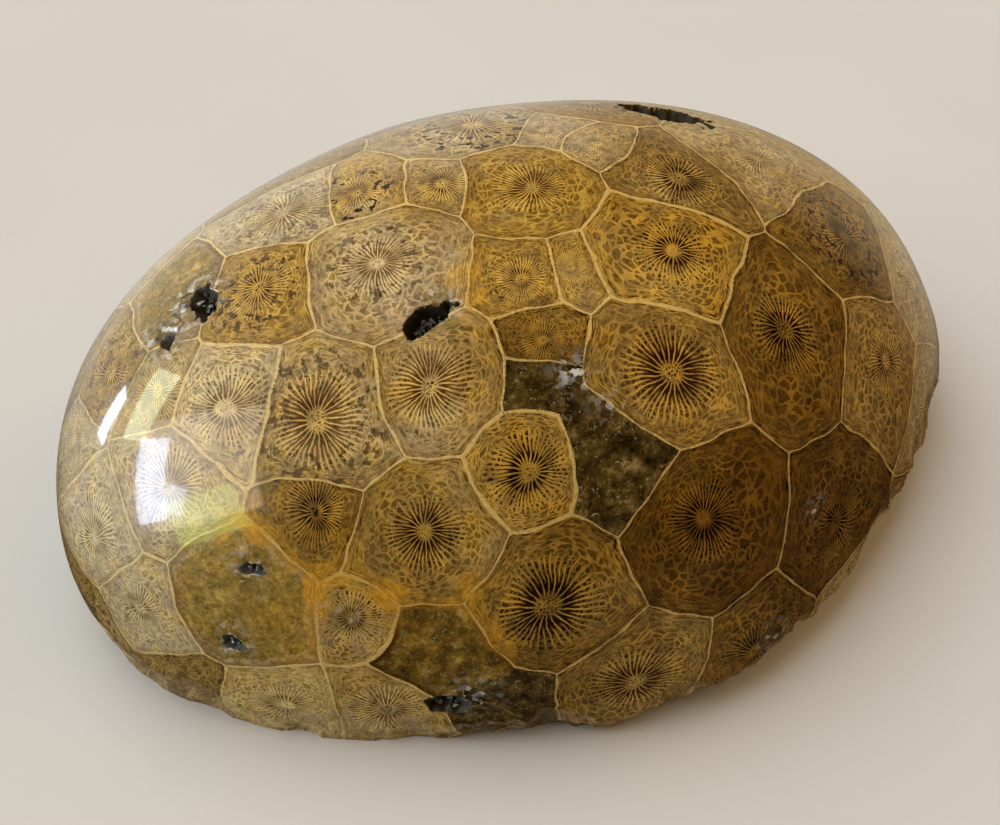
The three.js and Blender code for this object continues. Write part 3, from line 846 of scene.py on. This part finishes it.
# Limonite and calcite, and one painted highlight drawn like calcite.
rust_band = add(pattern, MATH, {0: middling, 1: -3.6, 2: wall_side}, operation="MULTIPLY_ADD")
rust_band = add(pattern, MAP_RANGE, {0: rust_band, 1: 0.0, 2: -0.5}, **SMOOTH)
rust = add(pattern, MATH, {0: small, 1: middling}, operation="ADD")
rust = add(pattern, MAP_RANGE, {0: rust, 1: 0.8, 2: 1.1, 3: 0.5, 4: 1.2})
rust = add(pattern, MATH, {0: rust, 1: limonite}, operation="MULTIPLY", use_clamp=True)
off_mud = add(pattern, MATH, {0: 1.0, 1: muddy}, operation="SUBTRACT")
rust = add(pattern, MATH, {0: rust, 1: off_mud}, operation="MULTIPLY")
rust = add(pattern, MATH, {0: rust, 1: rust_band}, operation="MULTIPLY")
streaky = add(pattern, MAP_RANGE, {0: fibres, 1: 0.0, 2: 1.0, 3: 0.78, 4: 1.25})
ochre = add(pattern, VECTOR_MATH, {0: linear("#d39c2e")[:3], "Scale": streaky}, operation="SCALE")
colour = add(pattern, MIX, {0: rust, 6: colour, 7: ochre}, data_type="RGBA").outputs[2]
crystals = add(pattern, "ShaderNodeTexVoronoi", {"Vector": in_mm, "Scale": 1.5}, feature="F1")
crystals = crystals.outputs["Color"]
crystals = add(pattern, "ShaderNodeSeparateXYZ", {0: crystals})
crystal_shade = add(pattern, "ShaderNodeValToRGB", {0: crystals})
crystal_shade.color_ramp.interpolation = "CONSTANT"
crystal_shade.color_ramp.elements[0].color = linear("#0e0c09")
crystal_shade.color_ramp.elements[1].position = 0.86
crystal_shade.color_ramp.elements[1].color = linear("#d6d6d0")
for position, shade in ((0.22, "#4b4331"), (0.45, "#7a6a44"), (0.66, "#8f949a")):
    crystal_shade.color_ramp.elements.new(position).color = linear(shade)
# The calcite patches, with one painted highlight among them: the last spot of the table.
crystal_and_highlight_mask = add(pattern, MAP_RANGE, {0: small, 1: 0.38, 2: 0.5}, **SMOOTH)
crystal_and_highlight_mask = add(pattern, MATH, {0: crystal_and_highlight_mask, 1: calcite_and_highlight}, operation="MULTIPLY")
colour = add(pattern, MIX, {0: crystal_and_highlight_mask, 6: colour, 7: crystal_shade}, data_type="RGBA").outputs[2]

add(pattern, "NodeGroupOutput", {"Colour": colour, "Dullness": fine})

# Polished silicified limestone: ground and buffed until it mirrors the window. The polish
# isn't quite flat: it waves by a few thousandths of a mm, where softer filling wore faster.
polished = bpy.data.materials.new("polished_coral_limestone")
polished.use_nodes = True
tree = polished.node_tree
surface = tree.nodes["Principled BSDF"]
rock = add(tree, "ShaderNodeGroup", node_tree=pattern)
tree.links.new(rock.outputs["Colour"], surface.inputs["Base Color"])
dull = add(tree, MAP_RANGE, {0: rock.outputs["Dullness"], 1: 0.3, 2: 0.7, 3: 0.2, 4: 0.38})
tree.links.new(dull.outputs[0], surface.inputs["Roughness"])
surface.inputs["IOR"].default_value = 1.54
surface.inputs["Specular IOR Level"].default_value = 0.1
surface.inputs["Coat Weight"].default_value = 0.8
surface.inputs["Coat IOR"].default_value = 1.45
surface.inputs["Coat Roughness"].default_value = 0.06
place = add(tree, "ShaderNodeTexCoord").outputs["Object"]
waves = add(tree, NOISE, {"Vector": place, "Scale": 700, "Detail": 2})
relief = add(tree, "ShaderNodeBump", {"Height": waves, "Strength": 0.5, "Distance": 0.00005})
tree.links.new(relief.outputs[0], surface.inputs["Normal"])

# The same limestone where it broke or was only sawn: matt, gritty and a little dusty. In the pits it is
# painted dark brown, as painted shade in the hollows.
broken = bpy.data.materials.new("broken_coral_limestone")
broken.use_nodes = True
tree = broken.node_tree
surface = tree.nodes["Principled BSDF"]
rock = add(tree, "ShaderNodeGroup", node_tree=pattern)
place = add(tree, "ShaderNodeTexCoord").outputs["Object"]
dust = add(tree, NOISE, {"Vector": place, "Scale": 350, "Detail": 5, "Roughness": 0.65})
dusting = add(tree, MAP_RANGE, {0: dust, 1: 0.42, 2: 0.68, 3: 0.15, 4: 0.8})
raw = add(tree, MIX, {0: dusting, 6: rock.outputs["Colour"], 7: linear("#94713a")}, data_type="RGBA")
skin_kind = add(tree, "ShaderNodeAttribute", attribute_name="skin").outputs["Vector"]
# Painted shade: the pit walls and floors are darkened towards near-black brown by the pit mask.
pit_painted_shade = add(tree, "ShaderNodeSeparateXYZ", {0: skin_kind}).outputs[1]
pit_painted_shade = add(tree, MAP_RANGE, {0: pit_painted_shade, 1: 0.05, 2: 0.5, 3: 0.0, 4: 0.93})
raw = add(tree, MIX, {0: pit_painted_shade, 6: raw.outputs[2], 7: linear("#150e06")}, data_type="RGBA")
tree.links.new(raw.outputs[2], surface.inputs["Base Color"])
surface.inputs["Roughness"].default_value = 0.78
grit = add(tree, NOISE, {"Vector": place, "Scale": 1300, "Detail": 4, "Roughness": 0.6})
relief = add(tree, "ShaderNodeBump", {"Height": grit, "Strength": 0.7, "Distance": 0.0004})
tree.links.new(relief.outputs[0], surface.inputs["Normal"])

stone_mesh.materials.append(polished)
stone_mesh.materials.append(broken)
rough_face = (polish[faces].mean(1) < 0.5) | (climb[faces].mean(1) < 0) | (pit_mask_and_shade[faces].max(1) > 0.85)
stone_mesh.polygons.foreach_set("material_index", rough_face.astype(np.int32))
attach(stone, "root")
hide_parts("coral_head")


# A map for the bake: the dome spread over most of a square, and the underside below it.
fall = np.arccos(np.clip(units[:, 2], -1, 1)) / math.pi
bearing = np.arctan2(units[:, 1], units[:, 0])
under_face = climb[faces].mean(1) < 0
reach_out = np.where(under_face[:, None], (1 - fall[faces]) / (1 - RIM_SHARE), fall[faces] / RIM_SHARE)
way = np.stack([np.cos(bearing), np.sin(bearing)], axis=1)
square = way / np.abs(way).max(1, keepdims=True)
spread = 0.5 + 0.48 * square[faces] * reach_out[:, :, None]
low_edge = np.where(under_face, 0.0, 0.31)[:, None]
tall = np.where(under_face, 0.3, 0.69)[:, None]
bake_map = stone_mesh.uv_layers.new(name="OFBake")
bake_values = np.stack([spread[:, :, 0], low_edge + tall * spread[:, :, 1]], axis=2)
bake_map.data.foreach_set("uv", bake_values.astype(np.float32).ravel())


# ---------------------------------------------------------------------------------------
# Calcite crystals: dog-tooth points 0.4 to 1 mm long that grew on the floors of the pits
# after the coral was buried. They are clear to grey-white, and stand up from the rock.
# ---------------------------------------------------------------------------------------
CRYSTALS_PER_SQUARE_MM = 1.6
CRYSTAL_LENGTHS = (0.45, 1.15)
CRYSTAL_WIDTH_SHARE = 0.3

floor_faces = faces[floor_depth[faces].min(1) > 0.45]
used, renumbered = np.unique(floor_faces, return_inverse=True)
floor_mesh = bpy.data.meshes.new("pit_floors")
floor_points = np.array([stone_mesh.vertices[int(i)].co for i in used])
floor_mesh.from_pydata(floor_points.tolist(), [], renumbered.reshape(-1, 3).tolist())
floors = bpy.data.objects.new("pit_floors", floor_mesh)
bpy.context.scene.collection.objects.link(floors)

# Calcite: glassy and a little milky, white to grey-blue, tinged brown by the mud.
calcite_crystal = bpy.data.materials.new("clear_grey_calcite")
calcite_crystal.use_nodes = True
tree = calcite_crystal.node_tree
surface = tree.nodes["Principled BSDF"]
place = add(tree, "ShaderNodeTexCoord").outputs["Object"]
cloud = add(tree, NOISE, {"Vector": place, "Scale": 1200, "Detail": 3})
shades = add(tree, "ShaderNodeValToRGB", {0: cloud})
shades.color_ramp.elements[0].position, shades.color_ramp.elements[0].color = 0.38, linear("#5a5342")
shades.color_ramp.elements[1].position, shades.color_ramp.elements[1].color = 0.62, linear("#d5d4cc")
shades.color_ramp.elements.new(0.5).color = linear("#878a8c")
tree.links.new(shades.outputs[0], surface.inputs["Base Color"])
surface.inputs["Roughness"].default_value = 0.16
surface.inputs["IOR"].default_value = 1.6
frost = add(tree, NOISE, {"Vector": place, "Scale": 6000, "Detail": 2})
relief = add(tree, "ShaderNodeBump", {"Height": frost, "Strength": 0.2, "Distance": 0.00005})
tree.links.new(relief.outputs[0], surface.inputs["Normal"])

grow = bpy.data.node_groups.new("grow_crystals", "GeometryNodeTree")
grow.interface.new_socket(name="Geometry", in_out="INPUT", socket_type="NodeSocketGeometry")
sizes = {
    "Density": (CRYSTALS_PER_SQUARE_MM / MM**2, "NodeSocketFloat"),
    "Shortest": (CRYSTAL_LENGTHS[0] * MM, "NodeSocketFloat"),
    "Longest": (CRYSTAL_LENGTHS[1] * MM, "NodeSocketFloat"),
    "Width share": (CRYSTAL_WIDTH_SHARE, "NodeSocketFloat"),
    "Seed": (5, "NodeSocketInt"),
}
for name, (value, kind) in sizes.items():
    grow.interface.new_socket(name=name, in_out="INPUT", socket_type=kind)
grow.interface.new_socket(name="Geometry", in_out="OUTPUT", socket_type="NodeSocketGeometry")
given = add(grow, "NodeGroupInput").outputs
rooted = add(grow, "GeometryNodeDistributePointsOnFaces", {
    "Mesh": given["Geometry"], "Density": given["Density"], "Seed": given["Seed"],
})
tooth = add(grow, "GeometryNodeMeshCone", {
    "Vertices": 6, "Radius Top": 0.0, "Radius Bottom": given["Width share"], "Depth": 1.0,
})
length = add(grow, "FunctionNodeRandomValue", {
    2: given["Shortest"], 3: given["Longest"], "Seed": given["Seed"],
}, data_type="FLOAT").outputs[1]
lean_least, lean_most = (-0.7, -0.7, -3.1), (0.7, 0.7, 3.1)
lean = add(grow, "FunctionNodeRandomValue", {0: lean_least, 1: lean_most}, data_type="FLOAT_VECTOR")
lean = add(grow, "FunctionNodeEulerToRotation", {0: lean})
turned = add(grow, "FunctionNodeRotateRotation", {
    0: rooted.outputs["Rotation"], 1: lean,
}, rotation_space="LOCAL")
grown = add(grow, "GeometryNodeInstanceOnPoints", {
    "Points": rooted.outputs["Points"], "Instance": tooth.outputs["Mesh"],
    "Rotation": turned, "Scale": length,
})
real = add(grow, "GeometryNodeRealizeInstances", {0: grown})
finished = add(grow, "GeometryNodeSetMaterial", {"Geometry": real, "Material": calcite_crystal})
add(grow, "NodeGroupOutput", {0: finished})

growth = floors.modifiers.new("growth", "NODES")
growth.node_group = grow
for socket in grow.interface.items_tree:
    if socket.in_out == "INPUT" and socket.name in sizes:
        growth[socket.identifier] = sizes[socket.name][0]
grown_mesh = bpy.data.meshes.new_from_object(floors.evaluated_get(bpy.context.evaluated_depsgraph_get()))
crystals = bpy.data.objects.new("pit_calcite", grown_mesh)
grown_mesh.name = "pit_calcite"
bpy.data.objects.remove(floors)
bpy.context.scene.collection.objects.link(crystals)
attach(crystals, "root")
